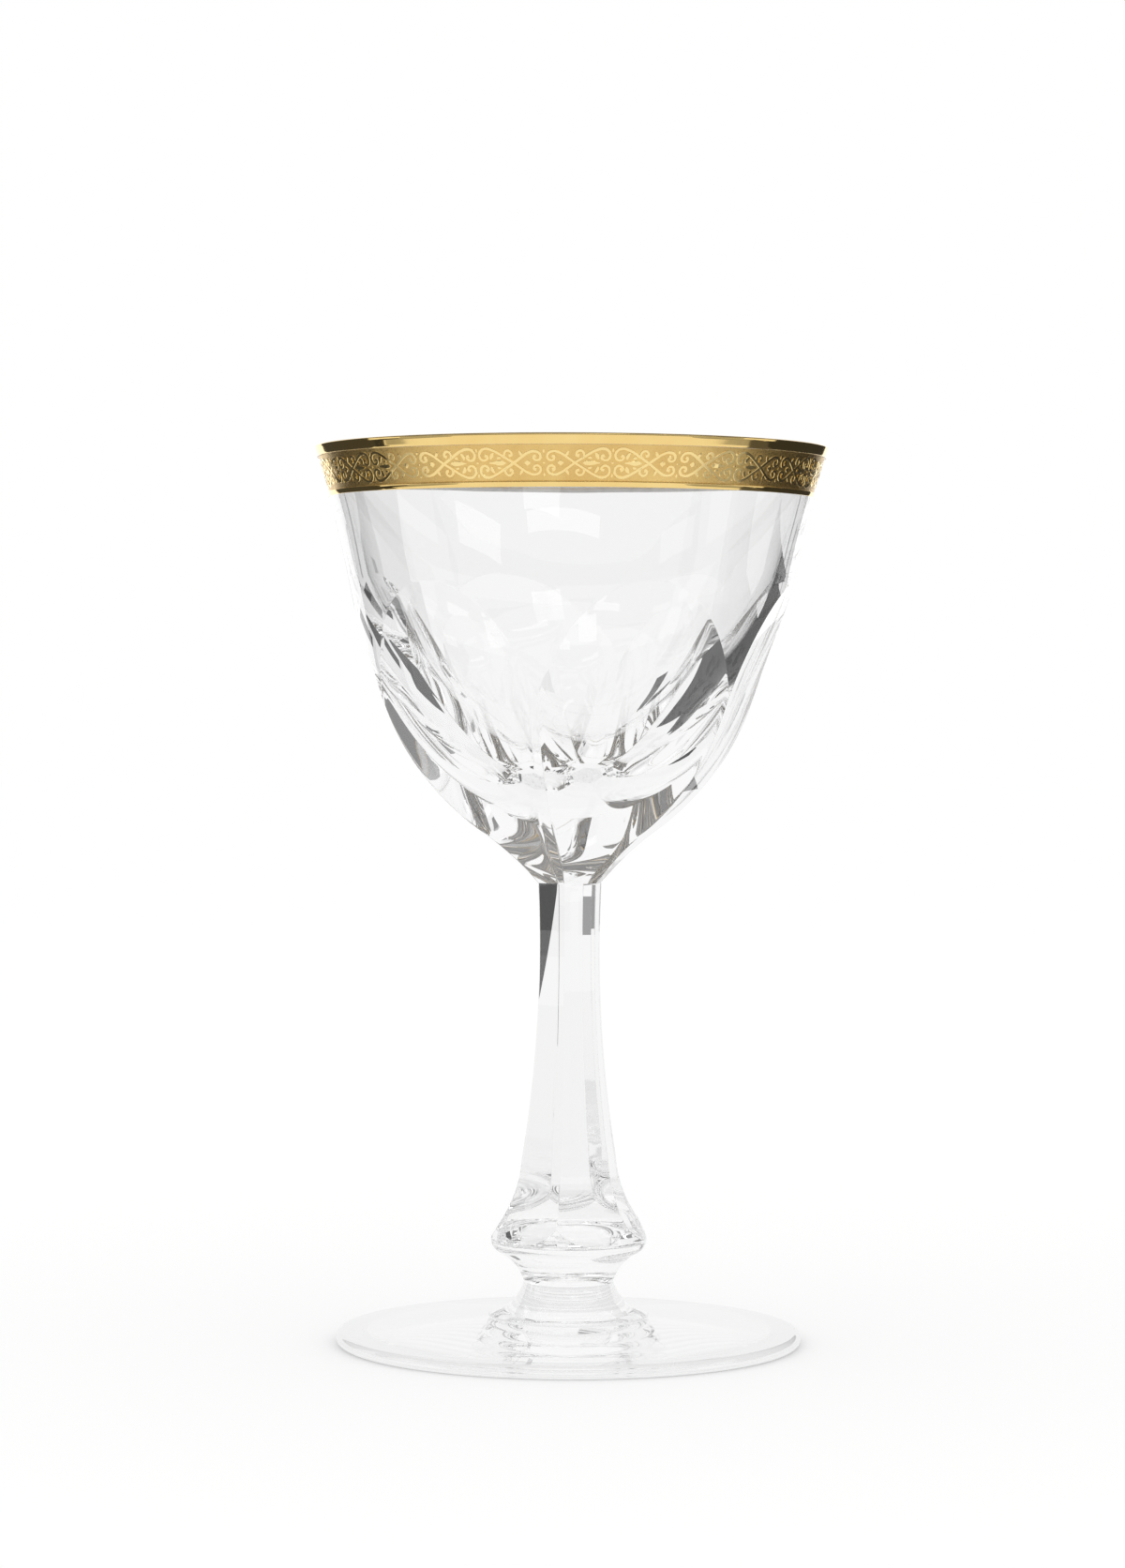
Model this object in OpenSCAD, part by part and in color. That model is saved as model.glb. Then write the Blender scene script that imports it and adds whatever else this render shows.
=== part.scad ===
// Cordial glass: a panel-cut crystal bowl on a six-sided stem with a knop, a collar and a round foot,
// and a gilded band with an etched frieze under the lip. Sizes are in millimetres and angles in degrees.
// The origin is the middle of the ring that the glass stands on, +Z is up, and one cut panel faces -Y.
// Side views are drawn as [radius, height], and a lean is an angle away from upright.

/* [Foot] */
// Diameter of the foot
foot_d = 59.8; // [50:0.1:75]
// Height of the seat in the middle of the foot, where the collar is joined on
foot_seat_h = 3.4; // [2.8:0.1:5]
// Thickness of the foot at its rounded edge
foot_edge_t = 1.7; // [1.2:0.1:2.4]
// Width of the flat ring under the foot that the glass stands on
rest_ring_w = 3.2; // [2:0.1:6]
// Height of the hollow under the middle of the foot
dish_h = 0.9; // [0.3:0.1:1.4]

/* [Collar] */
// Diameter of the collar where it spreads onto the foot
collar_d = 20.6; // [18:0.1:23]
// Height of the collar from its seat on the foot to the neck
collar_h = 4.5; // [3.5:0.1:6]
// Thickness of the collar at its outer edge
collar_edge_t = 0.3; // [0.2:0.05:0.6]
// Radius of the collar's hollow side
collar_curve_r = 5.9; // [4.5:0.1:9]
// Diameter of the neck, where the collar and the stem are joined
neck_d = 11.5; // [10:0.1:13]

/* [Stem] */
// Length of the stem from the neck to the bowl
stem_l = 51.3; // [40:0.1:70]
// Width of the stem across its flats where it meets the bowl
stem_top_w = 7.5; // [6:0.1:10]
// Radius of the long curve of the flutes
flute_curve_r = 187; // [120:1:400]
// Height above the neck where the flutes start to spread onto the knop
flute_spread_h = 15.9; // [13:0.1:19]
// Width of the stem across its flats where the flutes start to spread
flute_spread_w = 11.2; // [9.5:0.1:13]
// Radius of the curve of the flutes onto the knop
flute_spread_r = 17; // [11:0.5:30]
// Height above the knop's edge where the middle of each flute runs out
flute_end_h = 0.15; // [0.05:0.05:0.6]

/* [Knop] */
// Diameter of the knop at its edge
knop_d = 20; // [18:0.1:23]
// Height of the knop's edge above the neck
knop_h = 5.4; // [4.6:0.1:7]
// Radius of the rounded edge of the knop
knop_edge_r = 1.7; // [1.2:0.1:2.2]
// Radius of the hollow under the knop
knop_under_r = 6.4; // [4.5:0.1:12]

/* [Bowl] */
// Height of the bowl from the stem to the rim
bowl_h = 55.7; // [52:0.1:66]
// Outer diameter of the rim
rim_d = 66; // [64.5:0.1:72]
// Thickness of the glass at the rim
lip_t = 1.3; // [0.9:0.05:2]
// Height of the flared part below the rim
flare_h = 15.9; // [13:0.1:17]
// Outer diameter where the flare starts
flare_d = 57.4; // [56:0.1:58.5]
// Radius of the flare's hollow curve
flare_curve_r = 127; // [90:1:250]
// Thickness of the wall where the flare starts
wall_t = 2.3; // [1.8:0.1:3]
// Thickness of the solid glass between the stem and the floor of the bowl
floor_t = 14.1; // [11:0.1:17]

/* [Panel cuts] */
// Number of cut panels round the bowl and of flutes round the stem
sides = 6; // [5:1:8]
// Height of the arch tops of the panels above the stem
arch_h = 38.1; // [36:0.1:39.5]
// Radius of the hollow curve of the panels under their arches
arch_curve_r = 95; // [60:1:200]
// Height of the fullest point of the panels above the stem
belly_h = 23.2; // [21:0.1:25]
// How far the panels stand in from the start of the flare at their fullest point
belly_inset = 6.85; // [6.2:0.05:7.2]
// Radius of the full curve of the panels
belly_curve_r = 34; // [28:0.5:50]
// Height above the stem where the panels start to run out
run_out_h = 6.4; // [4.5:0.1:8]
// Distance across opposite panels where they start to run out
run_out_w = 20.2; // [18:0.1:22]
// Radius of the hollow curve of the run-out onto the stem
run_out_curve_r = 37; // [15:1:80]

/* [Gilding] */
// Thickness of the gold
gold_t = 0.1; // [0.05:0.01:0.2]
// Width of the burnished line round the lip
lip_line_w = 1.4; // [0.8:0.1:2.5]
// Width of the etched frieze
frieze_w = 4.5; // [3:0.1:6]
// Width of the burnished line under the frieze
base_line_w = 0.6; // [0.4:0.1:1.5]
// Depth of the frieze below the burnished lines
etch_depth = 0.3; // [0.15:0.05:0.5]

/* [Hidden] */
$fn = 360;
// Straight steps along the curve of the bowl's inside
cavity_steps = 24;
// Reach of a cut past what it cuts, and the hair's breadth by which each curve cuts into the next
overrun = 1;
nip = 0.02;

// Leans of the bowl's round wall, and of the knop above and below its edge
wall_lean = 11.3;
knop_side_lean = 11.3;
knop_under_lean = 57;

// Handles of the curve of the bowl's inside, as shares of its chord
cavity_wall_share = 0.16;
cavity_floor_share = 0.51;

// Heights of the joins, from the ground up
seat_z = foot_seat_h;
neck_z = seat_z + collar_h;
crease_z = neck_z + stem_l;
rim_z = crease_z + bowl_h;
top_z = rim_z + gold_t;

// Heights of the gilded lines
lip_line_z = top_z - lip_line_w;
frieze_z = lip_line_z - frieze_w;
base_line_z = frieze_z - base_line_w;

// Radii and heights that more than one piece or cut follows
collar_r = collar_d / 2;
neck_r = neck_d / 2;
knop_r = knop_d / 2;
knop_z = neck_z + knop_h;
rim_r = rim_d / 2;
flare_r = flare_d / 2;
flare_z = rim_z - flare_h;
stem_top = [stem_top_w / 2, crease_z];
reach = max(rim_r, flare_r, knop_r) + overrun;

// Centre of the circle of radius r through a and b, on the right of the way from a to b
function arc_centre(a, b, r) =
    let (way = (b - a) / norm(b - a))
    (a + b) / 2 + sqrt(r * r - pow(norm(b - a) / 2, 2)) * [way[1], -way[0]];

// The disc whose edge passes through a and b, a hollow curve on the right of the way from a to b
module disc(a, b, r, grow = 0) {
    translate(arc_centre(a, b, r))
        circle(r + grow);
}

// A block in the side view, from the axis out
module block(low, high, width) {
    translate([0, low])
        square([width, high - low]);
}

// The same cut on every side of the glass, from its side view, with the middle of one cut towards -Y
module cut_round() {
    for (i = [0 : sides - 1])
        rotate(i * 360 / sides - 90)
            rotate([90, 0, 0])
                linear_extrude(2 * reach, center = true)
                    children();
}

// The round foot: a thin disc that rises to its seat, hollowed below inside a flat ring
module foot() {
    edge_r = foot_edge_t / 2;
    rest_r = foot_d / 2 - edge_r;
    dish_r = rest_r - rest_ring_w;
    dish_curve_r = (dish_r * dish_r + dish_h * dish_h) / (2 * dish_h);
    color("aliceblue", 0.5)
        rotate_extrude()
            difference() {
                union() {
                    polygon([[0, 0], [rest_r, 0], [rest_r, foot_edge_t], [collar_r, seat_z], [0, seat_z]]);
                    translate([rest_r, edge_r])
                        circle(edge_r);
                }
                intersection() {
                    translate([0, dish_h - dish_curve_r])
                        circle(dish_curve_r);
                    block(-overrun, seat_z, dish_r + overrun);
                }
            }
}

// The collar: a short waisted piece that spreads onto the foot and carries the stem
module collar() {
    color("lightcyan", 0.5)
        rotate_extrude()
            difference() {
                block(seat_z, neck_z, collar_r);
                disc([collar_r, seat_z + collar_edge_t], [neck_r, neck_z], collar_curve_r);
            }
}

// Side view of the stem's round blank: hollow under the knop, rounded at its edge, then a plain side
module stem_blank() {
    edge_mid = [knop_r - knop_edge_r, knop_z];
    under_end = edge_mid + (knop_edge_r - nip) * [cos(knop_under_lean), -sin(knop_under_lean)];
    side_start = edge_mid + (knop_edge_r - nip) * [cos(knop_side_lean), sin(knop_side_lean)];
    side_end = side_start + 2 * knop_edge_r * [-tan(knop_side_lean), 1];
    difference() {
        block(neck_z, knop_z, under_end[0]);
        disc([neck_r, neck_z], under_end, knop_under_r);
    }
    translate(edge_mid)
        circle(knop_edge_r);
    polygon([[0, knop_z], [side_start[0], knop_z], side_start, side_end,
        [side_end[0], crease_z], [0, crease_z]]);
}

// Side view of a flute's cut: a long curve down the stem, then a tighter one that spreads onto the knop
module flute_cut() {
    spread = [flute_spread_w / 2, neck_z + flute_spread_h];
    intersection() {
        disc(spread, stem_top, flute_curve_r);
        block(spread[1], crease_z + overrun, reach);
    }
    disc([knop_r, knop_z + flute_end_h], spread - [nip, 0], flute_spread_r);
}

// The stem: a round blank with a knop, fluted flat from the knop's edge to the bowl
module stem() {
    color("azure", 0.5)
        difference() {
            rotate_extrude()
                stem_blank();
            cut_round()
                flute_cut();
        }
}

// The hollow curve of the flare, in the side view, set off from the wall into the glass
module flare_disc(off = 0) {
    disc([flare_r, flare_z], [rim_r, rim_z], flare_curve_r, off);
}

// Side view of a layer on the flare between two heights, from one offset into the glass to a lesser one
module flare_layer(low, high, inner_off, outer_off) {
    intersection() {
        block(low, high, reach);
        difference() {
            flare_disc(inner_off);
            flare_disc(outer_off);
        }
    }
}

// The round blank of the bowl: a cone that opens into the flare, with the frieze's recess etched in
module bowl_blank() {
    base_r = flare_r - (flare_z - crease_z) * tan(wall_lean);
    rotate_extrude()
        difference() {
            union() {
                polygon([[0, crease_z], [base_r, crease_z], [flare_r, flare_z], [0, flare_z]]);
                difference() {
                    block(flare_z, rim_z, reach);
                    flare_disc();
                }
            }
            flare_layer(frieze_z, lip_line_z, etch_depth, -overrun);
        }
}

// The inside of the bowl: one curve up from the level floor, then the flare's inner face
module bowl_cavity() {
    floor_mid = [0, crease_z + floor_t];
    throat = [flare_r - wall_t, flare_z];
    lip = [rim_r - lip_t, rim_z];
    chord = norm(throat - floor_mid);
    flare_turn = asin(norm(lip - throat) / (2 * flare_curve_r));
    throat_lean = atan((lip[0] - throat[0]) / flare_h) - flare_turn;
    upward = [sin(throat_lean), cos(throat_lean)];
    floor_handle = floor_mid + [chord * cavity_floor_share, 0];
    wall_handle = throat - chord * cavity_wall_share * upward;
    curve = [for (i = [0 : cavity_steps])
        let (t = i / cavity_steps)
        let (s = 1 - t)
        s * s * (s * floor_mid + 3 * t * floor_handle) + t * t * (3 * s * wall_handle + t * throat)];
    rotate_extrude() {
        polygon(concat(curve, [throat + flare_h * upward, [0, rim_z]]));
        difference() {
            block(flare_z, rim_z + overrun, reach);
            disc(throat - [nip, 0], lip, flare_curve_r);
            translate([rim_r - lip_t, rim_z])
                square([reach, overrun]);
        }
    }
}

// Side view of a panel's cut: a hollow arch on the wall, a full belly, and a run-out onto the stem
module panel_cut() {
    arch_z = crease_z + arch_h;
    arch = [flare_r - (flare_z - arch_z) * tan(wall_lean), arch_z];
    belly = [flare_r - belly_inset, crease_z + belly_h];
    run_out = [run_out_w / 2, crease_z + run_out_h];
    difference() {
        block(run_out[1], belly[1], reach);
        disc(belly, run_out, belly_curve_r);
    }
    disc(belly - [nip, 0], arch, arch_curve_r);
    disc(stem_top, run_out - [nip, 0], run_out_curve_r);
}

// The bowl: the blank, hollowed and cut into tall arch-topped panels that run out on the stem
module bowl() {
    color("ghostwhite", 0.5)
        difference() {
            bowl_blank();
            bowl_cavity();
            cut_round()
                panel_cut();
        }
}

// The burnished line round the lip, which also covers the rim
module gold_lip_line() {
    color("gold")
        rotate_extrude() {
            flare_layer(lip_line_z, rim_z, 0, -gold_t);
            translate([rim_r - lip_t, rim_z])
                square([lip_t + gold_t, gold_t]);
        }
}

// The gilded ground of the etched frieze
module gold_frieze() {
    color("goldenrod")
        rotate_extrude()
            flare_layer(frieze_z, lip_line_z, etch_depth, etch_depth - gold_t);
}

// The burnished line under the frieze
module gold_base_line() {
    color("gold")
        rotate_extrude()
            flare_layer(base_line_z, frieze_z, 0, -gold_t);
}

foot();
collar();
stem();
bowl();
gold_lip_line();
gold_frieze();
gold_base_line();
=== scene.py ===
"""A gilded cordial glass in cut crystal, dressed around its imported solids, in a white studio."""

import functools
import math

import bmesh
import bpy
from mathutils import Matrix, Vector


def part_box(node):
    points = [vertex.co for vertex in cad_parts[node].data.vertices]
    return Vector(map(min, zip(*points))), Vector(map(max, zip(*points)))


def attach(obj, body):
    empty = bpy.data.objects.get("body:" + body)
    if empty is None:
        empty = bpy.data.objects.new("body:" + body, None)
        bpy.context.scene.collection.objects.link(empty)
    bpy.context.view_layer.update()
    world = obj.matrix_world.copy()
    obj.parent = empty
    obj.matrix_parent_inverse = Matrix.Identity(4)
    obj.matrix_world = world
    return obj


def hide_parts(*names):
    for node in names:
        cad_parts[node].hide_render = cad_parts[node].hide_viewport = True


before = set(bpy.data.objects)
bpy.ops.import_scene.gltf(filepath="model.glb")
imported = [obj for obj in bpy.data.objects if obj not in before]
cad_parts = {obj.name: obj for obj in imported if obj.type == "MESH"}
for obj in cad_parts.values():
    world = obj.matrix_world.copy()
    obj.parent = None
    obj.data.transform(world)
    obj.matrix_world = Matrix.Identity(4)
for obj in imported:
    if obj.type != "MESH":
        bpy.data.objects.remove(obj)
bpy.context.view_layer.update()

mm = 0.001

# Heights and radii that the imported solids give
foot_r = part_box("foot")[1].x
seat_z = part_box("collar")[0].z
collar_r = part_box("collar")[1].x
neck_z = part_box("stem")[0].z
knop_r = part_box("stem")[1].x
crease_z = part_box("bowl")[0].z
rim_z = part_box("bowl")[1].z
rim_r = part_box("bowl")[1].x
base_line_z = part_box("gold_base_line")[0].z
frieze_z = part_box("gold_frieze")[0].z
lip_line_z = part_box("gold_lip_line")[0].z
top_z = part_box("gold_lip_line")[1].z
gold_t = top_z - rim_z

# Foot and collar
foot_edge_r = 0.85 * mm
rest_ring_w = 3.2 * mm
dish_h = 0.9 * mm
collar_edge_t = 0.3 * mm
collar_curve_r = 5.9 * mm
neck_r = 5.75 * mm

# Stem and knop
knop_z = neck_z + 5.4 * mm
knop_edge_r = 1.7 * mm
knop_under_r = 6.4 * mm
knop_under_lean = math.radians(57)
knop_side_lean = math.radians(11.3)
stem_top_half = 3.75 * mm
flute_curve_r = 187 * mm
flute_spread_half = 5.6 * mm
flute_spread_z = neck_z + 15.9 * mm
flute_spread_r = 17 * mm
flute_end_h = 0.15 * mm

# Bowl, panels and inside
flare_r = 28.7 * mm
flare_z = rim_z - 15.9 * mm
flare_curve_r = 127 * mm
wall_lean = math.radians(11.3)
arch_z = crease_z + 38.1 * mm
arch_curve_r = 95 * mm
belly_half = flare_r - 6.85 * mm
belly_z = crease_z + 23.2 * mm
belly_curve_r = 34 * mm
run_out_half = 10.1 * mm
run_out_z = crease_z + 6.4 * mm
run_out_curve_r = 37 * mm
lip_t = 1.3 * mm
lip_round = 0.14 * mm
wall_t = 2.3 * mm
floor_z = crease_z + 14.1 * mm
floor_handle_share = 0.51
wall_handle_share = 0.16

# Gilding
etch_depth = 0.3 * mm
gold_sink = 0.02 * mm
gold_edge_round = gold_t / 3
gold_edge_angle = math.radians(40)
lip_cover_share = 0.95

# Sides and cut edges
sides = 6
panel_angle = 2 * math.pi / sides
cut_edge_round = 0.1 * mm
cut_edge_angle = math.radians(9)
merge_gap = mm / 10000
angle_digits = 6
halvings = 50

# How many rows each stretch of a side view has, and how much closer the low ones lie
side_steps = 48
panel_rows = 56
cone_rows = 7
flare_rows = 10
base_line_rows = 2
frieze_rows = 6
lip_side_rows = 3
lip_top_rows = 7
inner_flare_rows = 14
inside_rows = 56
knop_under_rows = 14
knop_edge_rows = 8
scallop_rows = 8
flute_rows = 90
flute_ease = 1.6
collar_rows = 24
collar_ease = 1.5
dish_rows = 30
rest_ring_rows = 4
foot_edge_rows = 16
foot_top_rows = 24
gold_side_rows = 4
gold_top_rows = 12


def add_object(name, data):
    thing = bpy.data.objects.new(name, data)
    bpy.context.scene.collection.objects.link(thing)
    return thing


def arc(low, high, radius, full=False):
    """The curve through two (radius, height) points: gives its radius at any height between them"""
    (r0, z0), (r1, z1) = low, high
    chord = math.hypot(r1 - r0, z1 - z0)
    away = math.sqrt(radius ** 2 - chord ** 2 / 4) / chord
    side = -1 if full else 1
    mid_r = (r0 + r1) / 2 + side * away * (z1 - z0)
    mid_z = (z0 + z1) / 2 - side * away * (r1 - r0)
    return lambda z: mid_r - side * math.sqrt(max(radius ** 2 - (z - mid_z) ** 2, 0))


def spread(low, high, count, ease=1.0):
    """Values from low to high, both included, closer together at the low end where ease is over 1"""
    return [low + (high - low) * (i / count) ** ease for i in range(count + 1)]


def moved(z, low, high, new_low, new_high):
    """A height between low and high, moved in step when that stretch gets new ends"""
    return new_low + (z - low) / (high - low) * (new_high - new_low)


def meeting(inner, outer, low, high):
    """The height between low and high at which the first radius grows past the second, by halving"""
    for _ in range(halvings):
        mid = (low + high) / 2
        if inner(mid) > outer(mid):
            high = mid
        else:
            low = mid
    return (low + high) / 2


def from_panel(co):
    """Angle of a point from the middle of the panel that it is on; one panel faces -Y"""
    angle = math.atan2(co.y, co.x) + math.pi / 2 + panel_angle / 2
    return angle % panel_angle - panel_angle / 2


def turn(bm, points):
    """Turns one side's share of a chain of (radius, height) points, and returns the new vertices"""
    first = len(bm.verts)
    start = -math.pi / 2 - panel_angle / 2
    chain = [bm.verts.new((r * math.cos(start), r * math.sin(start), z)) for r, z in points]
    edges = [bm.edges.new(pair) for pair in zip(chain, chain[1:])]
    bmesh.ops.spin(bm, geom=chain + edges, axis=(0, 0, 1), cent=(0, 0, 0),
                   angle=panel_angle, steps=side_steps)
    return list(bm.verts)[first:]


def copy_round(bm, count):
    """Copies what is made so far round the axis, to a number of evenly spaced places in all"""
    bmesh.ops.spin(bm, geom=bm.verts[:] + bm.edges[:] + bm.faces[:], axis=(0, 0, 1), cent=(0, 0, 0),
                   angle=2 * math.pi * (count - 1) / count, steps=count - 1, use_duplicate=True)


def join_sides(bm):
    """Repeats one side's share of a piece on all sides and merges the seams"""
    copy_round(bm, sides)
    bmesh.ops.remove_doubles(bm, verts=bm.verts, dist=merge_gap)


def place(vert, radius, height):
    """Moves a vertex along its own half plane to a radius and height"""
    angle = math.atan2(vert.co.y, vert.co.x)
    vert.co = (radius * math.cos(angle), radius * math.sin(angle), height)


def round_edges(bm, least_angle, size):
    """Puts a small round on the edges that turn by more than an angle"""
    sharp = [e for e in bm.edges if len(e.link_faces) == 2 and e.calc_face_angle() > least_angle]
    bmesh.ops.bevel(bm, geom=sharp, offset=size, segments=2, profile=0.5,
                    affect="EDGES", material=-1, clamp_overlap=True)


def weld_faces(bm):
    """Closes the open ends of a turned piece with faces where it is fused to its neighbour"""
    ends = [e for e in bm.edges if e.is_boundary]
    for face in bmesh.ops.edgeloop_fill(bm, edges=ends)["faces"]:
        face.material_index = 1


def finish_piece(bm, name, materials):
    """Turns the faces outwards and makes the mesh a piece that rides on the glass"""
    bmesh.ops.recalc_face_normals(bm, faces=bm.faces)
    for face in bm.faces:
        face.smooth = True
    for edge in bm.edges:
        if len({f.material_index for f in edge.link_faces}) > 1:
            edge.smooth = False
    mesh = bpy.data.meshes.new(name)
    bm.to_mesh(mesh)
    bm.free()
    piece = add_object(name, mesh)
    for material in materials:
        mesh.materials.append(material)
    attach(piece, "root")
    return piece


def finish_rounded(bm, name, materials):
    """Finishes a piece with small rounds, and lets its broad faces rule the shading beside them"""
    piece = finish_piece(bm, name, materials)
    weighted = piece.modifiers.new("broad faces", "WEIGHTED_NORMAL")
    weighted.mode = "FACE_AREA"
    weighted.keep_sharp = True
    return piece


# The side views of the glass
def cone(z):
    return flare_r - (flare_z - z) * math.tan(wall_lean)


flare = arc((flare_r, flare_z), (rim_r, rim_z), flare_curve_r)
run_out = arc((stem_top_half, crease_z), (run_out_half, run_out_z), run_out_curve_r)
belly = arc((run_out_half, run_out_z), (belly_half, belly_z), belly_curve_r, full=True)
arch = arc((belly_half, belly_z), (cone(arch_z), arch_z), arch_curve_r)
flute = arc((flute_spread_half, flute_spread_z), (stem_top_half, crease_z), flute_curve_r)
flute_end = arc((knop_r, knop_z + flute_end_h), (flute_spread_half, flute_spread_z), flute_spread_r)


def panel(z):
    """Distance of a panel from the axis of the glass at a height"""
    if z < run_out_z:
        return run_out(z)
    return belly(z) if z < belly_z else arch(z)


def stem_flat(z):
    """Distance of a flute of the stem from the axis at a height"""
    return flute_end(z) if z < flute_spread_z else flute(z)


def knop_side(z):
    """Radius of the stem's round blank above the edge of the knop"""
    bend_z = knop_z + knop_edge_r * math.sin(knop_side_lean)
    if z < bend_z:
        return knop_r - knop_edge_r + math.sqrt(knop_edge_r ** 2 - (z - knop_z) ** 2)
    bend_r = knop_r - knop_edge_r * (1 - math.cos(knop_side_lean))
    return bend_r - (z - bend_z) * math.tan(knop_side_lean)


@functools.lru_cache(maxsize=None)
def arch_height(angle):
    """Height of a panel's arched top at an angle from the panel's middle"""
    lean = math.cos(angle)
    return meeting(lambda z: panel(z) / lean, cone, crease_z, arch_z)


@functools.lru_cache(maxsize=None)
def scallop_height(angle):
    """Height at which a flute leaves the knop, at an angle from the flute's middle"""
    lean = math.cos(angle)
    return meeting(knop_side, lambda z: stem_flat(z) / lean, knop_z, flute_spread_z)


def over_lip(offset, share, count):
    """Points over a share of the rounded lip, from its outside inwards, at an offset from the glass"""
    edge_z = rim_z - lip_round
    half = lip_t / 2
    mid_r = flare(edge_z) - half
    points = []
    for turned in spread(0, math.pi * share, count + 1)[1:-1]:
        r = mid_r + (half + offset) * math.cos(turned)
        points.append((r, edge_z + (lip_round + offset) * math.sin(turned)))
    return points


def bowl_inside():
    """Points down the inside of the bowl, from the lip to the middle of the floor"""
    throat = Vector((flare_r - wall_t, flare_z))
    lip = Vector((rim_r - lip_t, rim_z))
    way = lip - throat
    lean = math.atan2(way.x, way.y) - math.asin(way.length / (2 * flare_curve_r))
    floor = Vector((0, floor_z))
    chord = (throat - floor).length
    low = floor + Vector((chord * floor_handle_share, 0))
    high = throat - chord * wall_handle_share * Vector((math.sin(lean), math.cos(lean)))
    inner_flare = arc(throat, lip, flare_curve_r)
    points = [(inner_flare(z), z) for z in spread(rim_z - lip_round, flare_z, inner_flare_rows)]
    for t in spread(0, 1, inside_rows)[1:]:
        s = 1 - t
        points.append(tuple(s ** 3 * throat + 3 * s * s * t * high + 3 * s * t * t * low + t ** 3 * floor))
    return points


# The pieces of glass
def make_bowl(materials):
    """The round bowl, with the rows below its flare ground back to six panels with arched tops"""
    bm = bmesh.new()
    rows = [(cone(z), z) for z in spread(crease_z, arch_z, panel_rows)]
    rows += [(cone(z), z) for z in spread(arch_z, flare_z, cone_rows)[1:]]
    grindable = len(rows)
    rows += [(flare(z), z) for z in spread(flare_z, base_line_z, flare_rows)[1:]]
    rows += [(flare(z), z) for z in spread(base_line_z, frieze_z, base_line_rows)[1:]]
    rows += [(flare(z) - etch_depth, z) for z in spread(frieze_z, lip_line_z, frieze_rows)]
    rows += [(flare(z), z) for z in spread(lip_line_z, rim_z - lip_round, lip_side_rows)]
    rows += over_lip(0, 1, lip_top_rows)
    for v in turn(bm, rows[:grindable]):
        angle = from_panel(v.co)
        top = arch_height(round(abs(angle), angle_digits))
        if v.co.z < arch_z + merge_gap:
            z = moved(v.co.z, crease_z, arch_z, crease_z, top)
            place(v, panel(z) / math.cos(angle), z)
        else:
            z = moved(v.co.z, arch_z, flare_z, top, flare_z)
            place(v, cone(z), z)
    turn(bm, rows[grindable - 1:])
    outside = len(bm.faces)
    turn(bm, rows[-1:] + bowl_inside())
    for face in list(bm.faces)[outside:]:
        face.material_index = 2
    join_sides(bm)
    round_edges(bm, cut_edge_angle, cut_edge_round)
    weld_faces(bm)
    return finish_rounded(bm, "crystal_bowl", materials)


def make_stem(materials):
    """The round knop, and above it six flutes that end on it in scallops"""
    bm = bmesh.new()
    edge_r = knop_r - knop_edge_r
    edge = []
    for turned in spread(knop_under_lean, 0, knop_edge_rows):
        edge.append((edge_r + knop_edge_r * math.cos(turned), knop_z - knop_edge_r * math.sin(turned)))
    hollow = arc((neck_r, neck_z), edge[0], knop_under_r)
    turn(bm, [(hollow(z), z) for z in spread(neck_z, edge[0][1], knop_under_rows)] + edge[1:])
    scallop_top = knop_z + flute_end_h
    rows = [(knop_r, z) for z in spread(knop_z, scallop_top, scallop_rows)]
    rows += [(knop_r, z) for z in spread(scallop_top, crease_z, flute_rows, flute_ease)[1:]]
    for v in turn(bm, rows):
        angle = from_panel(v.co)
        low = scallop_height(round(abs(angle), angle_digits))
        if v.co.z < scallop_top + merge_gap:
            z = moved(v.co.z, knop_z, scallop_top, knop_z, low)
            place(v, knop_side(z), z)
        else:
            z = moved(v.co.z, scallop_top, crease_z, low, crease_z)
            place(v, stem_flat(z) / math.cos(angle), z)
    join_sides(bm)
    round_edges(bm, cut_edge_angle, cut_edge_round)
    weld_faces(bm)
    return finish_rounded(bm, "crystal_stem", materials)


def make_collar(materials):
    bm = bmesh.new()
    edge_z = seat_z + collar_edge_t
    hollow = arc((collar_r, edge_z), (neck_r, neck_z), collar_curve_r)
    waist = [(hollow(z), z) for z in spread(edge_z, neck_z, collar_rows, collar_ease)]
    turn(bm, [(collar_r, seat_z)] + waist)
    join_sides(bm)
    weld_faces(bm)
    return finish_piece(bm, "crystal_collar", materials)


def make_foot(materials):
    """The disc, from the dish under it over the rest ring and the round edge to the collar's seat"""
    bm = bmesh.new()
    rest_r = foot_r - foot_edge_r
    dish_r = rest_r - rest_ring_w
    dish_curve_r = (dish_r ** 2 + dish_h ** 2) / (2 * dish_h)
    rows = []
    for r in spread(0, dish_r, dish_rows):
        rows.append((r, dish_h - dish_curve_r + math.sqrt(dish_curve_r ** 2 - r * r)))
    rows += [(r, 0) for r in spread(dish_r, rest_r, rest_ring_rows)[1:-1]]
    for turned in spread(-math.pi / 2, math.pi / 2, foot_edge_rows):
        rows.append((rest_r + foot_edge_r * math.cos(turned), foot_edge_r * (1 + math.sin(turned))))
    slope = zip(spread(rest_r, collar_r, foot_top_rows), spread(2 * foot_edge_r, seat_z, foot_top_rows))
    rows += list(slope)[1:]
    turn(bm, rows)
    join_sides(bm)
    weld_faces(bm)
    return finish_piece(bm, "crystal_foot", materials)


# The gold
def make_ring(name, shown, hidden, materials):
    """Turns a layer of gold from the chain of points that shows and the chain that lies on the glass"""
    bm = bmesh.new()
    turn(bm, [hidden[0]] + shown + [hidden[-1]])
    shown_count = len(bm.faces)
    turn(bm, hidden[::-1])
    for face in list(bm.faces)[shown_count:]:
        face.material_index = 1
    join_sides(bm)
    round_edges(bm, gold_edge_angle, gold_edge_round)
    return finish_rounded(bm, name, materials)


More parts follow.
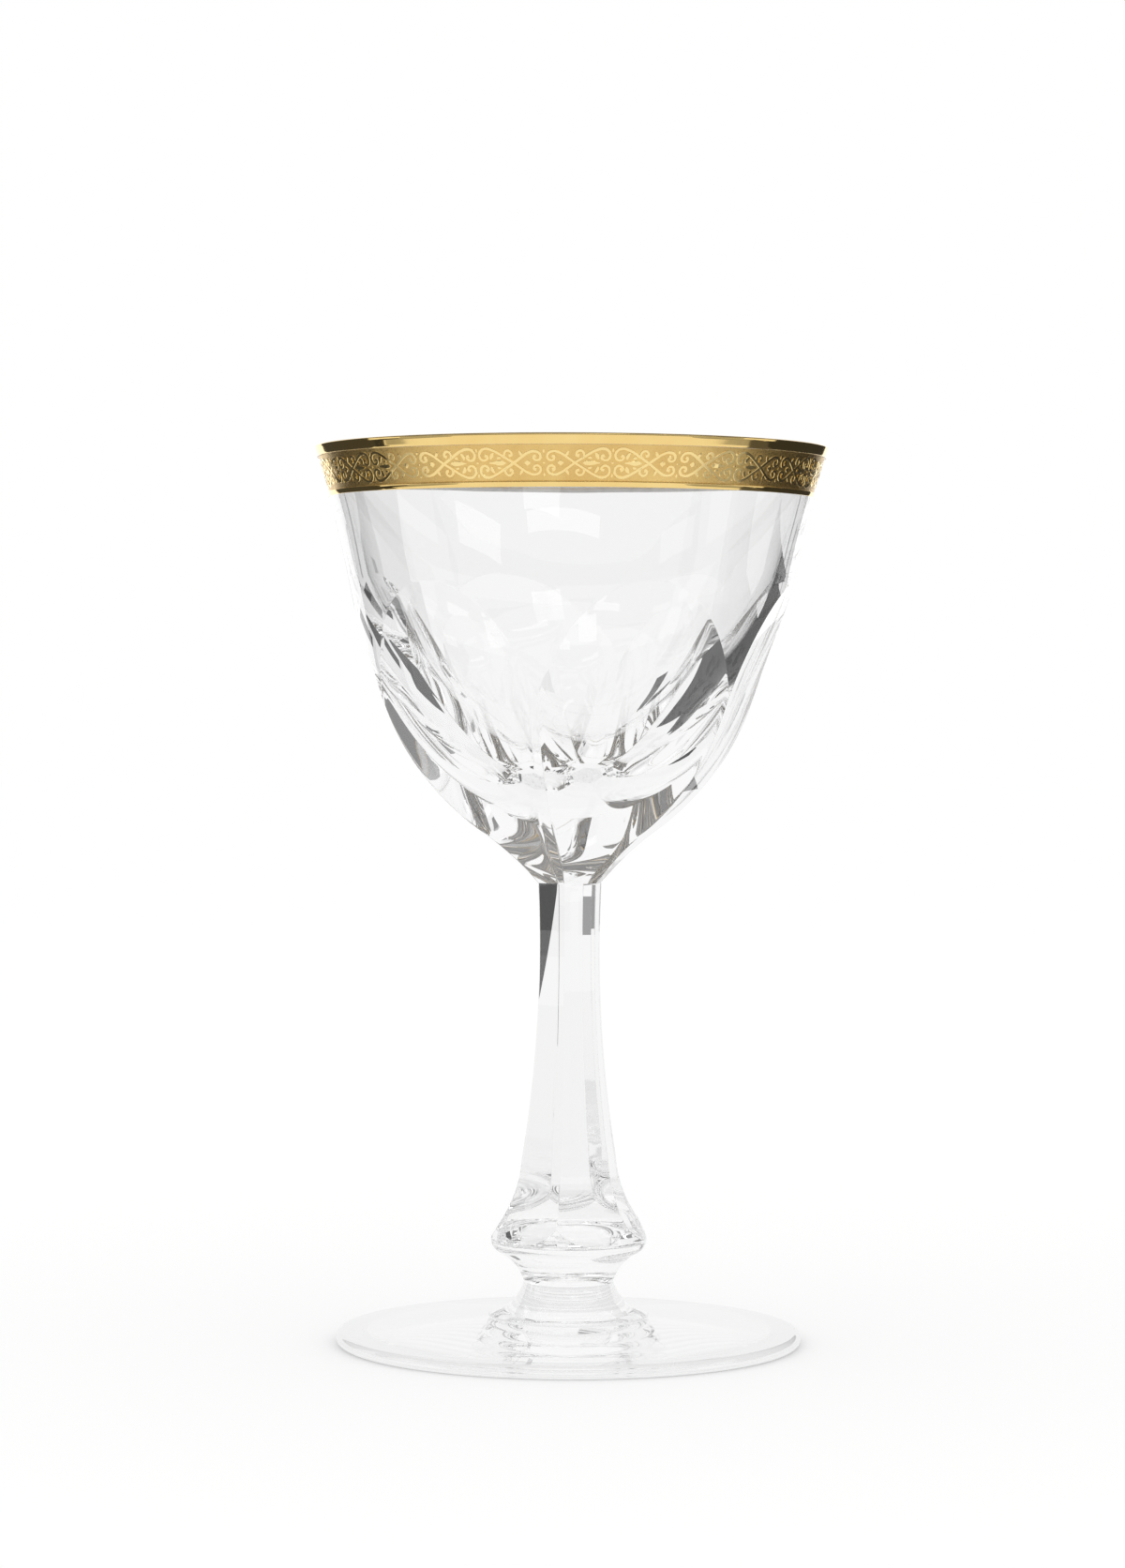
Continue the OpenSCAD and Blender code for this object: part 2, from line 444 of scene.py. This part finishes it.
def make_band(name, low, high, depth, count, materials):
    """A row of the gilding on the flare, on glass that is etched to a depth"""
    heights = spread(low, high, count)
    hidden = [(flare(z) - depth - gold_sink, z) for z in heights]
    shown = [(flare(z) - depth + gold_t, z) for z in heights]
    return make_ring(name, shown, hidden, materials)


def make_lip_line(materials):
    """The gilding that runs up the flare and over the lip"""
    heights = spread(lip_line_z, rim_z - lip_round, gold_side_rows)
    layers = []
    for offset in (gold_t, -gold_sink):
        side = [(flare(z) + offset, z) for z in heights]
        layers.append(side + over_lip(offset, lip_cover_share, gold_top_rows))
    shown, hidden = layers
    return make_ring("gold_lip_line_turned", shown, hidden, materials)


# The scrolls of the frieze, each drawn flat as a stroke of (across, up, width) points in millimetres
long_half = 4.51
short_half = 3.67
repeats = 12
crossing_angle = math.radians(-19.9)
stroke_round = 0.07
stroke_steps = 5
ridge_profile = [(-1, -0.2), (-0.94, 0.1), (-0.78, 0.4), (0.78, 0.4), (0.94, 0.1), (1, -0.2)]
scroll_sink = gold_t / 2
scroll_edge_angle = math.radians(20)

# Height of the strokes that pass over at a crossing, 1, and under, -1
scroll_h = {1: 0.06 * mm, -1: 0.05 * mm}

long_quarter = [
    [(long_half, 0, 0.24), (3.3, 0.75, 0.24), (2.0, 1.5, 0.25), (1.13, 1.71, 0.26), (0.52, 1.45, 0.25),
     (0.31, 0.9, 0.24), (0.62, 0.37, 0.23), (1.13, 0.4, 0.22), (1.3, 0.75, 0.24), (0.99, 0.88, 0.36)],
    [(3.55, 0.5, 0.14), (3.42, 1.08, 0.22), (3.8, 1.46, 0.22), (4.26, 1.26, 0.22), (4.26, 0.9, 0.24),
     (3.96, 0.86, 0.34)],
    [(1.72, 0.42, 0.08), (1.78, 0.72, 0.36), (1.93, 1.0, 0.3), (2.12, 1.2, 0.06)],
    [(2.5, 0.5, 0.06), (2.68, 0.6, 0.26), (2.95, 0.62, 0.06)],
]
long_row = [[(3.55, 0, 0.08), (3.3, 0, 0.36), (2.75, 0, 0.48), (2.1, 0, 0.3), (1.5, 0, 0.05)]]
long_column = [[(0, 1.3, 0.04), (0, 1.5, 0.2), (0, 1.72, 0.06)]]
short_quarter = [
    [(short_half, 0, 0.24), (2.7, 0.7, 0.24), (1.95, 1.18, 0.24), (1.18, 1.38, 0.25), (0.55, 1.12, 0.25),
     (0.42, 0.66, 0.24), (0.75, 0.32, 0.22), (1.17, 0.44, 0.22), (1.2, 0.74, 0.24), (0.95, 0.8, 0.36)],
    [(2.62, 0.8, 0.08), (2.76, 1.06, 0.32), (2.96, 1.42, 0.05)],
]
short_row = [[(1.62, 0, 0.05), (1.98, 0, 0.62), (2.34, 0, 0.05)]]
short_column = [[(0, 1.2, 0.04), (0, 1.4, 0.2), (0, 1.6, 0.06)]]
middle_bead = [[(-0.14, 0, 0.04), (0, 0, 0.18), (0.14, 0, 0.04)]]


def mirrored(strokes, centre, sides_drawn, ways_drawn):
    """Strokes on one or both sides of a centre, one or both ways up, each marked as over or under"""
    drawn = []
    for side in sides_drawn:
        for way in ways_drawn:
            for stroke in strokes:
                points = [(centre + side * x, way * y, width) for x, y, width in stroke]
                drawn.append((side * way, points))
    return drawn


def figure(centre, quarter, row, column):
    """The strokes of one figure of the frieze about its centre"""
    both = (1, -1)
    one = (1,)
    strokes = mirrored(quarter, centre, both, both) + mirrored(row, centre, both, one)
    return strokes + mirrored(middle_bead, centre, one, one) + mirrored(column, centre, one, both)


def draw_strokes(strokes):
    """Draws strokes as ridges with bevelled sides and returns them as one flat mesh"""
    edge = bpy.data.curves.new("ridge profile", "CURVE")
    edge.dimensions = "2D"
    outline = edge.splines.new("POLY")
    outline.points.add(len(ridge_profile) - 1)
    for point, (x, y) in zip(outline.points, ridge_profile):
        point.co = (x, y, 0, 1)
    outline.use_cyclic_u = True
    ridge = add_object("ridge profile", edge)
    curve = bpy.data.curves.new("scrolls", "CURVE")
    curve.dimensions = "2D"
    curve.resolution_u = stroke_steps
    curve.fill_mode = "NONE"
    curve.bevel_mode = "OBJECT"
    curve.bevel_object = ridge
    curve.use_fill_caps = True
    for stroke in strokes:
        spline = curve.splines.new("BEZIER")
        spline.bezier_points.add(len(stroke) - 1)
        for point, (x, y, width) in zip(spline.bezier_points, stroke):
            point.co = (x, y, 0)
            point.radius = width / 2 + stroke_round
            point.handle_left_type = "AUTO"
            point.handle_right_type = "AUTO"
    drawing = add_object("scrolls", curve)
    bpy.context.view_layer.update()
    mesh = bpy.data.meshes.new_from_object(drawing.evaluated_get(bpy.context.evaluated_depsgraph_get()))
    for thing, data in ((drawing, curve), (ridge, edge)):
        bpy.data.objects.remove(thing)
        bpy.data.curves.remove(data)
    return mesh


def make_scrolls(materials):
    """Draws a long and a short figure, bends them onto the frieze and repeats them round it"""
    pitch = long_half + short_half
    strokes = figure(0, long_quarter, long_row, long_column)
    strokes += figure(pitch, short_quarter, short_row, short_column)
    mid_z = (frieze_z + lip_line_z) / 2
    ground_off = gold_t - etch_depth
    bm = bmesh.new()
    for layer, height in scroll_h.items():
        flat = draw_strokes([stroke for passing, stroke in strokes if passing == layer])
        first = len(bm.verts)
        bm.from_mesh(flat)
        bpy.data.meshes.remove(flat)
        for v in list(bm.verts)[first:]:
            angle = crossing_angle + (v.co.x + long_half) / pitch * math.pi / repeats - math.pi / 2
            z = mid_z + v.co.y * mm
            r = flare(z) + ground_off + min(max(v.co.z * mm, -scroll_sink), height)
            v.co = (r * math.cos(angle), r * math.sin(angle), z)
    bmesh.ops.remove_doubles(bm, verts=bm.verts, dist=merge_gap)
    copy_round(bm, repeats)
    piece = finish_piece(bm, "gold_scrolls", materials)
    piece.data.set_sharp_from_angle(angle=scroll_edge_angle)
    return piece


# Materials: the glass is uneven in slow waves, more so where it is blown, up towards the lip
white = (1, 1, 1, 1)
glass_ior = 1.52
shadow_grey = (0.65, 0.65, 0.65, 1)
wave_scale = 90
wave_stretch = (1, 1, 0.7)
cut_wave_share = 0.06
cut_up_to_z = arch_z - 3.3 * mm
blown_from_z = arch_z + 3.7 * mm
cut_wave_h = 0.012 * mm
blown_wave_h = 0.12 * mm
pressed_wave_h = 0.05 * mm

# Materials: the gold has clouds in its colour and a grain in its sheen
noise_span = (0.3, 0.7)
cloud_scale = 240
gold_detail = 2
burnished_grain_scale = 700
burnished_grain_h = 0.001 * mm
etched_grain_scale = 5000
etched_grain_h = 0.012 * mm
sheen_spread_share = 0.25

# Materials: the underside of the gold in ochre, with painted light (pale) after a few passes through glass
# and painted shade (grey) after many
underside_roughness = 0.6
underside_grain_scale = 900
underside_detail = 3
underside_worn = (0.84, 0.84, 0.84, 1)
underside_ochre = (0.64, 0.45, 0.18, 1)
# Painted light and painted shade: the pale and the grey that the underside takes after passes through
# glass
underside_painted_light = (0.95, 0.95, 0.95, 1)
underside_painted_shade = (0.55, 0.55, 0.55, 1)
painted_light_from_pass = 1.5
painted_shade_from_pass = 5.5
most_passes = 10


def new_material(name):
    material = bpy.data.materials.new(name)
    material.use_nodes = True
    nodes = material.node_tree.nodes
    nodes.clear()
    return material, nodes, material.node_tree.links


def show(nodes, links, shader):
    """Makes a shader the one that the material shows"""
    out = nodes.new("ShaderNodeOutputMaterial")
    links.new(shader, out.inputs["Surface"])


def pattern(nodes, links, scale, detail, stretch=(1, 1, 1)):
    """Noise over the piece, at a number of waves per metre"""
    where = nodes.new("ShaderNodeTexCoord")
    grid = nodes.new("ShaderNodeMapping")
    grid.inputs["Scale"].default_value = stretch
    noise = nodes.new("ShaderNodeTexNoise")
    noise.inputs["Scale"].default_value = scale
    noise.inputs["Detail"].default_value = detail
    links.new(where.outputs["Object"], grid.inputs["Vector"])
    links.new(grid.outputs["Vector"], noise.inputs["Vector"])
    return noise.outputs["Fac"]


def blend(nodes, links, share, low, high, span=noise_span):
    """A number that goes from low to high while a share goes through its span"""
    between = nodes.new("ShaderNodeMapRange")
    between.inputs["From Min"].default_value = span[0]
    between.inputs["From Max"].default_value = span[1]
    between.inputs["To Min"].default_value = low
    between.inputs["To Max"].default_value = high
    links.new(share, between.inputs["Value"])
    return between.outputs["Result"]


def tint(nodes, links, share, low, high):
    """A colour that goes from one to another while a share goes through the span of the noise"""
    between = nodes.new("ShaderNodeValToRGB")
    for element, position, colour in zip(between.color_ramp.elements, noise_span, (low, high)):
        element.position = position
        element.color = colour
    links.new(share, between.inputs["Fac"])
    return between.outputs["Color"]


def uneven(nodes, links, height_map, height):
    """A normal for a surface that rises and falls with a map"""
    bump = nodes.new("ShaderNodeBump")
    bump.inputs["Distance"].default_value = height
    links.new(height_map, bump.inputs["Height"])
    return bump


def either(nodes, links, first, second):
    """1 for a ray that is of one kind or the other"""
    larger = nodes.new("ShaderNodeMath")
    larger.operation = "MAXIMUM"
    links.new(first, larger.inputs[0])
    links.new(second, larger.inputs[1])
    return larger.outputs["Value"]


def mixed(nodes, links, share, first, second):
    """A shader that goes from the first to the second with a share"""
    mix = nodes.new("ShaderNodeMixShader")
    links.new(share, mix.inputs["Fac"])
    links.new(first, mix.inputs[1])
    links.new(second, mix.inputs[2])
    return mix.outputs["Shader"]


def crystal(name, wave_height):
    """Clear glass, uneven towards the lip, that light on its way to plain surfaces passes straight"""
    material, nodes, links = new_material(name)
    glass = nodes.new("ShaderNodeBsdfPrincipled")
    glass.inputs["Base Color"].default_value = white
    glass.inputs["Transmission Weight"].default_value = 1
    glass.inputs["Roughness"].default_value = 0
    glass.inputs["IOR"].default_value = glass_ior
    waves = uneven(nodes, links, pattern(nodes, links, wave_scale, 0, wave_stretch), wave_height)
    where = nodes.new("ShaderNodeTexCoord")
    split = nodes.new("ShaderNodeSeparateXYZ")
    links.new(where.outputs["Object"], split.inputs["Vector"])
    strength = blend(nodes, links, split.outputs["Z"], cut_wave_share, 1, (cut_up_to_z, blown_from_z))
    links.new(strength, waves.inputs["Strength"])
    links.new(waves.outputs["Normal"], glass.inputs["Normal"])
    clear = nodes.new("ShaderNodeBsdfTransparent")
    clear.inputs["Color"].default_value = shadow_grey
    path = nodes.new("ShaderNodeLightPath")
    straight = either(nodes, links, path.outputs["Is Shadow Ray"], path.outputs["Is Diffuse Ray"])
    show(nodes, links, mixed(nodes, links, straight, glass.outputs["BSDF"], clear.outputs["BSDF"]))
    return material


def fused_join():
    """The faces between fused pieces, which can't be seen"""
    material, nodes, links = new_material("fused join")
    clear = nodes.new("ShaderNodeBsdfTransparent")
    show(nodes, links, clear.outputs["BSDF"])
    return material


def fired_underside():
    """The dull side of the fired gold, ochre where seen straight, with painted light (pale) after a few
    passes through glass and painted shade (grey) after many
    """
    material, nodes, links = new_material("fired underside")
    dull = nodes.new("ShaderNodeBsdfPrincipled")
    dull.inputs["Roughness"].default_value = underside_roughness
    path = nodes.new("ShaderNodeLightPath")
    depth = blend(nodes, links, path.outputs["Ray Depth"], 0, 1, (0, most_passes))
    # Painted light and painted shade: ochre seen straight, pale after a few passes through glass, grey
    # after many
    painted_by_passes = nodes.new("ShaderNodeValToRGB")
    painted_by_passes.color_ramp.interpolation = "CONSTANT"
    steps = painted_by_passes.color_ramp.elements
    steps[0].color = underside_ochre
    steps[1].position = painted_light_from_pass / most_passes
    steps[1].color = underside_painted_light
    steps.new(painted_shade_from_pass / most_passes).color = underside_painted_shade
    links.new(depth, painted_by_passes.inputs["Fac"])
    grain = pattern(nodes, links, underside_grain_scale, underside_detail)
    worn = nodes.new("ShaderNodeMix")
    worn.data_type = "RGBA"
    worn.blend_type = "MULTIPLY"
    worn.inputs["Factor"].default_value = 1
    links.new(painted_by_passes.outputs["Color"], worn.inputs[6])
    links.new(tint(nodes, links, grain, underside_worn, white), worn.inputs[7])
    links.new(worn.outputs[2], dull.inputs["Base Color"])
    show(nodes, links, dull.outputs["BSDF"])
    return material


def gold(name, low, high, roughness, grain_scale, grain_height):
    """Gold whose colour, sheen and surface vary with a grain of so many waves per metre"""
    material, nodes, links = new_material(name)
    metal = nodes.new("ShaderNodeBsdfPrincipled")
    metal.inputs["Metallic"].default_value = 1
    cloud = pattern(nodes, links, cloud_scale, gold_detail)
    grain = pattern(nodes, links, grain_scale, gold_detail)
    bright = roughness * (1 - sheen_spread_share)
    dull = roughness * (1 + sheen_spread_share)
    links.new(tint(nodes, links, cloud, low, high), metal.inputs["Base Color"])
    links.new(blend(nodes, links, grain, bright, dull), metal.inputs["Roughness"])
    links.new(uneven(nodes, links, grain, grain_height).outputs["Normal"], metal.inputs["Normal"])
    show(nodes, links, metal.outputs["BSDF"])
    return material


bowl_materials = [crystal("cut crystal", cut_wave_h), fused_join(), crystal("blown crystal", blown_wave_h)]
glass_materials = [crystal("pressed crystal", pressed_wave_h), fused_join()]
burnished = gold("burnished gold", low=(0.95, 0.68, 0.26, 1), high=(0.98, 0.73, 0.3, 1), roughness=0.07,
                 grain_scale=burnished_grain_scale, grain_height=burnished_grain_h)
etched = gold("etched gold", low=(0.79, 0.53, 0.19, 1), high=(0.88, 0.62, 0.235, 1), roughness=0.32,
              grain_scale=etched_grain_scale, grain_height=etched_grain_h)
scroll_gold = gold("scroll gold", low=(0.99, 0.745, 0.325, 1), high=(1, 0.785, 0.36, 1), roughness=0.1,
                   grain_scale=burnished_grain_scale, grain_height=burnished_grain_h)
underside = fired_underside()

pieces = {
    "bowl": make_bowl(bowl_materials),
    "stem": make_stem(glass_materials),
    "collar": make_collar(glass_materials),
    "foot": make_foot(glass_materials),
    "gold_lip_line": make_lip_line([burnished, underside]),
    "gold_frieze": make_band("gold_frieze_ground", frieze_z, lip_line_z, etch_depth, frieze_rows,
                             [etched, underside]),
    "gold_base_line": make_band("gold_base_line_turned", base_line_z, frieze_z, 0, base_line_rows,
                                [burnished, underside]),
}
make_scrolls([scroll_gold])
for node, piece in pieces.items():
    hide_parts(node)


# The studio, in the photograph's own frame: x to the right, y away from the camera, z up
photo_h_px = 1672
focal_px = 4438.4
sensor_w = 36
nearest_seen = 10 * mm
camera_away = 534.25 * mm
camera_aside = -1.0115 * mm
camera_z = 84.34 * mm
camera_pitch = math.radians(1.337)
camera_roll = math.radians(0.211)
studio_turn = math.radians(-20.5)
studio = Matrix.Rotation(studio_turn, 4, "Z")

# Levels of the white room: on plain surfaces, behind glass and gold, and of the paper floor
ambient = 0.97
backdrop = 0.95
floor_albedo = 0.85
plain_floor_share = 0.8
floor_r = 3
floor_steps = 64

# Lamps, cards and the wall behind the camera, with their places in millimetres
lamp_w = 300 * mm
lamp_aim = 85
softbox_aim = 90
stripe_foot_w = 2.4
stripe_top_w = 2
stripe_shade = 0.4
room_r = 1000
room_start = math.radians(100)
room_turn = math.radians(160)
room_steps = 32
room_shade = 0.3


def make_camera():
    data = bpy.data.cameras.new("camera")
    data.sensor_width = sensor_w
    data.lens = focal_px / photo_h_px * sensor_w
    data.clip_start = nearest_seen
    thing = add_object("camera", data)
    look = Matrix.Rotation(math.pi / 2 - camera_pitch, 4, "X") @ Matrix.Rotation(camera_roll, 4, "Z")
    thing.matrix_world = studio @ Matrix.Translation((camera_aside, -camera_away, camera_z)) @ look
    bpy.context.scene.camera = thing
    bpy.context.view_layer.update()
    return thing


camera = make_camera()


def ray_level(nodes, links, to_camera, to_glass, to_rest):
    """A strength for rays from the camera, for rays off gold and through glass, and for plain surfaces"""
    path = nodes.new("ShaderNodeLightPath")
    polished = either(nodes, links, path.outputs["Is Glossy Ray"], path.outputs["Is Transmission Ray"])
    indirect = nodes.new("ShaderNodeMix")
    indirect.inputs["A"].default_value = to_rest
    indirect.inputs["B"].default_value = to_glass
    links.new(polished, indirect.inputs["Factor"])
    level = nodes.new("ShaderNodeMix")
    level.inputs["B"].default_value = to_camera
    links.new(indirect.outputs["Result"], level.inputs["A"])
    links.new(path.outputs["Is Camera Ray"], level.inputs["Factor"])
    return level.outputs["Result"]


def make_floor():
    """Paper that takes the shadow, lifted to white for the camera and shown plain behind glass and gold"""
    bm = bmesh.new()
    bmesh.ops.create_circle(bm, cap_ends=True, radius=floor_r, segments=floor_steps)
    mesh = bpy.data.meshes.new("floor")
    bm.to_mesh(mesh)
    bm.free()
    floor = add_object("floor", mesh)
    material, nodes, links = new_material("white floor")
    paper = nodes.new("ShaderNodeBsdfDiffuse")
    paper.inputs["Color"].default_value = (floor_albedo, floor_albedo, floor_albedo, 1)
    lift = nodes.new("ShaderNodeEmission")
    links.new(ray_level(nodes, links, 1 - floor_albedo * ambient, 0, 0), lift.inputs["Strength"])
    lifted = nodes.new("ShaderNodeAddShader")
    links.new(paper.outputs["BSDF"], lifted.inputs[0])
    links.new(lift.outputs["Emission"], lifted.inputs[1])
    plain = nodes.new("ShaderNodeEmission")
    plain.inputs["Strength"].default_value = backdrop
    share = ray_level(nodes, links, 0, plain_floor_share, 0)
    show(nodes, links, mixed(nodes, links, share, lifted.outputs["Shader"], plain.outputs["Emission"]))
    mesh.materials.append(material)


def make_world():
    world = bpy.data.worlds.new("studio")
    bpy.context.scene.world = world
    world.use_nodes = True
    nodes, links = world.node_tree.nodes, world.node_tree.links
    sky = nodes["Background"]
    sky.inputs["Color"].default_value = white
    links.new(ray_level(nodes, links, 1, backdrop, ambient), sky.inputs["Strength"])


def on_rig(thing):
    """Lets a card or lamp travel with the camera"""
    thing.parent = camera
    thing.matrix_parent_inverse = camera.matrix_world.inverted()


def show_card(bm, name, shade, gold_only=False):
    """Makes a card out of the picture that only glass and gold see, or that gold alone sees"""
    mesh = bpy.data.meshes.new(name)
    bm.transform(studio)
    bm.to_mesh(mesh)
    bm.free()
    card = add_object(name, mesh)
    material, nodes, links = new_material(name)
    glow = nodes.new("ShaderNodeEmission")
    glow.inputs["Color"].default_value = (shade, shade, shade, 1)
    shown = glow.outputs["Emission"]
    if gold_only:
        path = nodes.new("ShaderNodeLightPath")
        clear = nodes.new("ShaderNodeBsdfTransparent")
        shown = mixed(nodes, links, path.outputs["Transmission Depth"], shown, clear.outputs["BSDF"])
    show(nodes, links, shown)
    mesh.materials.append(material)
    card.visible_camera = False
    card.visible_diffuse = False
    card.visible_shadow = False
    card.visible_transmission = not gold_only
    on_rig(card)


def make_card(name, corners, shade, gold_only):
    bm = bmesh.new()
    bm.faces.new([bm.verts.new(Vector(corner) * mm) for corner in corners])
    show_card(bm, name, shade, gold_only)


def make_flag(name, start, way, outline, shade, gold_only=False):
    """An upright card from a floor point along a way, cut to an outline of (along, height) points"""
    along = Vector(way).normalized()
    corners = [(start[0] + s * along.x, start[1] + s * along.y, z) for s, z in outline]
    make_card(name, corners, shade, gold_only)


def make_level_card(name, height, outline, shade):
    """A level card at a height, cut to an outline of (x, y) points, that gold alone sees"""
    make_card(name, [(x, y, height) for x, y in outline], shade, gold_only=True)


def make_stripes(side, start, way, places, low, high, lean):
    """A row of narrow, leaning grey flags for the wavy lines in the glass under the gold"""
    for i, along in enumerate(places):
        top = along + lean
        stripe = [(along, low), (top, high), (top + stripe_top_w, high), (along + stripe_foot_w, low)]
        make_flag(f"{side}_stripe_{i}", start, way, stripe, stripe_shade)


def make_softbox(name, aside, up, away, size, shade):
    """A bright card that faces the bowl, so many degrees aside from the camera and up"""
    bm = bmesh.new()
    bmesh.ops.create_grid(bm, x_segments=1, y_segments=1, size=0.5)
    bmesh.ops.scale(bm, vec=(size[0] * mm, size[1] * mm, 1), verts=bm.verts)
    aside = math.radians(aside)
    up = math.radians(up)
    way = Vector((math.sin(aside) * math.cos(up), -math.cos(aside) * math.cos(up), math.sin(up)))
    middle = Vector((0, 0, softbox_aim * mm)) + way * away * mm
    bm.transform(Matrix.Translation(middle) @ way.to_track_quat("Z", "Y").to_matrix().to_4x4())
    show_card(bm, name, shade)


def make_room_wall(name, low, high):
    """A dim round wall behind the camera, between two heights"""
    bm = bmesh.new()
    out = Vector((math.sin(room_start), math.cos(room_start), 0)) * room_r
    corners = [bm.verts.new((out + Vector((0, 0, height))) * mm) for height in (low, high)]
    edge = bm.edges.new(corners)
    bmesh.ops.spin(bm, geom=corners + [edge], axis=(0, 0, -1), cent=(0, 0, 0),
                   angle=room_turn, steps=room_steps)
    show_card(bm, name, room_shade)


def make_lamp(name, spot, power):
    data = bpy.data.lights.new(name, "AREA")
    data.shape = "RECTANGLE"
    data.size = lamp_w
    data.size_y = lamp_w
    data.energy = power
    lamp = add_object(name, data)
    aim = Vector((0, 0, lamp_aim)) - Vector(spot)
    turned = aim.to_track_quat("-Z", "Y").to_matrix().to_4x4()
    lamp.matrix_world = studio @ Matrix.Translation(Vector(spot) * mm) @ turned
    lamp.visible_glossy = False
    lamp.visible_transmission = False
    on_rig(lamp)


def rectangle(left, low, right, high):
    """The outline of a flag with square corners"""
    return [(left, low), (left, high), (right, high), (right, low)]


make_floor()
make_world()

# Ways along the floor that the flags run
to_right = (1, 0)
to_left = (-1, 0)
to_back = (0, 1)
along_right_flag = (66, -12)

# Black and grey flags that the cut glass bends into crescents, blades and streaks, placed in millimetres
right_flag = [(-2, 6), (-2, 40), (-12, 42), (-12, 62), (4, 76), (3, 94), (27, 93), (28, 73), (300, 73),
              (300, 6)]
stem_flag = [(0, 30), (5.9, 30), (8.3, 58), (8.6, 66), (0, 66)]
left_flag = [(8, 28), (8, 47), (22, 48), (26, 62), (27, 86), (60, 86), (60, 30), (47, 8), (12, 10)]
upper_flag = [(-25, 185), (105, 190), (105, 250), (-25, 260)]
make_flag("right_flag", (34, 19), along_right_flag, right_flag, shade=0.1)
make_flag("stem_flag", (23, 40), to_right, stem_flag, shade=0.05)
make_flag("left_flag", (-38, 38), to_left, left_flag, shade=0.13)
make_flag("left_patch", (-38, 37.5), to_left, rectangle(9, 65, 19, 82), shade=0.1)
make_stripes("left", (-38, 37), to_left, (-4, 6, 15), low=85, high=95, lean=3)
make_stripes("right", (38, 37), to_right, (7, 15), low=88, high=96, lean=2)
make_flag("left_shade", (-38, 39), to_left, rectangle(-12, 60, 34, 108), shade=0.8)
make_flag("upper_flag", (148, 0), to_back, upper_flag, shade=0.2)

# Dark cards that shade the ends of the gold, with a gleam at each edge, and that gold alone sees
gold_band = [(68, 58), (138, 26), (258, 1), (278, 150), (148, 190), (88, 200), (33, 190)]
right_gold_flag = [(10, 176), (10, 84), (18, 80)] + gold_band
left_gold_flag = [(18, 181), (18, 80)] + gold_band
gold_ceiling = [(-900, -100), (900, -100), (900, 900), (-900, 900)]
right_wing = [(230, 0), (345, 10), (480, 30), (700, 60), (700, 200), (230, 36)]
left_wing = [(-230, 0), (-345, 10), (-440, -70), (-700, -110), (-700, 200), (-230, 36)]
right_side_floor = [(222, -135), (290, -215), (500, -380), (900, -500), (900, 60), (285, 0)]
left_side_floor = [(-262, -95), (-290, -215), (-500, -380), (-900, -500), (-900, 60), (-285, 0)]
make_level_card("gold_ceiling", 700, gold_ceiling, shade=0.06)
make_flag("right_gold_flag", (42, 36), to_right, right_gold_flag, shade=0.04, gold_only=True)
make_flag("left_gold_flag", (-42, 36), to_left, left_gold_flag, shade=0.06, gold_only=True)
make_flag("right_gleam", (42, 36.5), to_right, rectangle(-6, 60, 10, 130), shade=1.4, gold_only=True)
make_flag("left_gleam", (-42, 36.5), to_left, rectangle(-6, 60, 18, 130), shade=1.4, gold_only=True)
make_level_card("right_wing", 1, right_wing, shade=0.04)
make_level_card("left_wing", 1, left_wing, shade=0.04)
make_level_card("right_side_floor", 0.5, right_side_floor, shade=0.4)
make_level_card("left_side_floor", 0.5, left_side_floor, shade=0.4)

# The room behind the camera, with its softboxes and lamps
make_room_wall("dim_room", 30, 220)
make_room_wall("dim_room_top", 330, 1000)
make_softbox("right_softbox", aside=54, up=23, away=500, size=(220, 50), shade=2)
make_softbox("left_softbox", aside=-62, up=21, away=500, size=(160, 40), shade=1.2)
make_softbox("front_strip", aside=4, up=27.5, away=600, size=(390, 34), shade=2)
make_softbox("top_softbox", aside=18, up=45, away=600, size=(170, 130), shade=2)
make_lamp("left_lamp", (-350, -300, 500), power=0.07)
make_lamp("right_lamp", (350, -300, 500), power=0.05)

# Light goes on long enough to find its way through the cut glass
all_bounces = 96
glass_bounces = 64
bpy.context.scene.view_settings.view_transform = "Standard"
cycles = bpy.context.scene.cycles
cycles.blur_glossy = 0
cycles.max_bounces = all_bounces
cycles.transmission_bounces = glass_bounces
cycles.glossy_bounces = glass_bounces
cycles.transparent_max_bounces = glass_bounces
